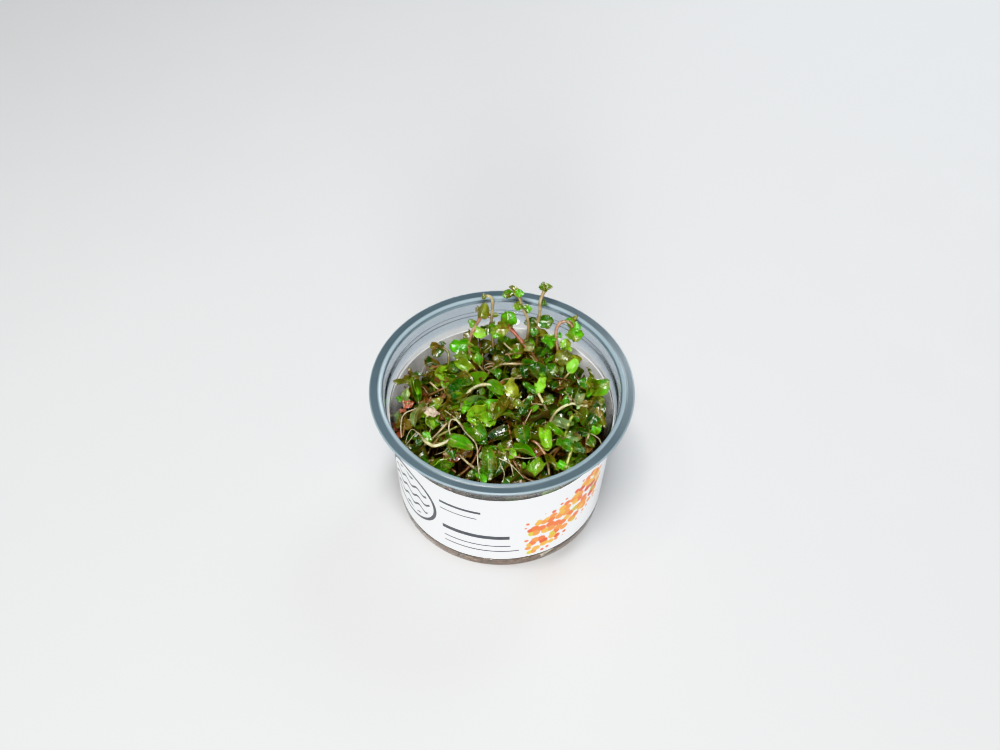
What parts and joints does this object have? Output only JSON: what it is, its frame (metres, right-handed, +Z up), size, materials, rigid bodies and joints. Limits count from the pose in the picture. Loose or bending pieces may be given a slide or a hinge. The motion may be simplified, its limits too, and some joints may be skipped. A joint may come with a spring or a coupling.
{
  "type": "potted rotala aquarium plant",
  "caption": "Clear plastic cup with a white wrap label, filled with a tangle of small green rotala shoots on a mat of brown roots.",
  "frame": {"origin": "middle of the cup's base, on the surface that it stands on", "axes": "+Z up; the pictured side faces -Y; +X to the right of the picture"},
  "size_m": [0.101, 0.101, 0.0719],
  "materials": {
    "clear_plastic": "clear moulded polypropylene, slightly milky at the rim",
    "label_paper": "white coated paper",
    "roots": "damp matted brown roots",
    "foliage": "wet glossy green leaves on tan and pale green stems"
  },
  "bodies": {
    "root": {"cup": "clear_plastic", "label": "label_paper", "root_mat": "roots", "shoot_back_deep": "foliage", "shoot_back_hook": "foliage", "shoot_back_left": "foliage", "shoot_back_pair": "foliage", "shoot_back_red_stem": "foliage", "shoot_back_right_arch": "foliage", "shoot_back_tall": "foliage", "shoot_front_edge": "foliage", "shoot_front_left": "foliage", "shoot_front_lime_leaf": "foliage", "shoot_front_low": "foliage", "shoot_front_lying": "foliage", "shoot_front_right": "foliage", "shoot_front_right_stem": "foliage", "shoot_front_tan_stem": "foliage", "shoot_left_back": "foliage", "shoot_left_big_leaf": "foliage", "shoot_left_far": "foliage", "shoot_left_front": "foliage", "shoot_left_front_wall": "foliage", "shoot_left_glossy": "foliage", "shoot_left_inner": "foliage", "shoot_left_middle": "foliage", "shoot_left_pink": "foliage", "shoot_left_u_stem": "foliage", "shoot_left_wall": "foliage", "shoot_middle_arch": "foliage", "shoot_middle_back": "foliage", "shoot_middle_dark": "foliage", "shoot_middle_front": "foliage", "shoot_middle_lime": "foliage", "shoot_middle_right": "foliage", "shoot_middle_yellow": "foliage", "shoot_right_back": "foliage", "shoot_right_cream_arch": "foliage", "shoot_right_deep": "foliage", "shoot_right_front": "foliage", "shoot_right_green_stem": "foliage", "shoot_right_inner": "foliage", "shoot_right_wall": "foliage"}
  },
  "joints": []
}
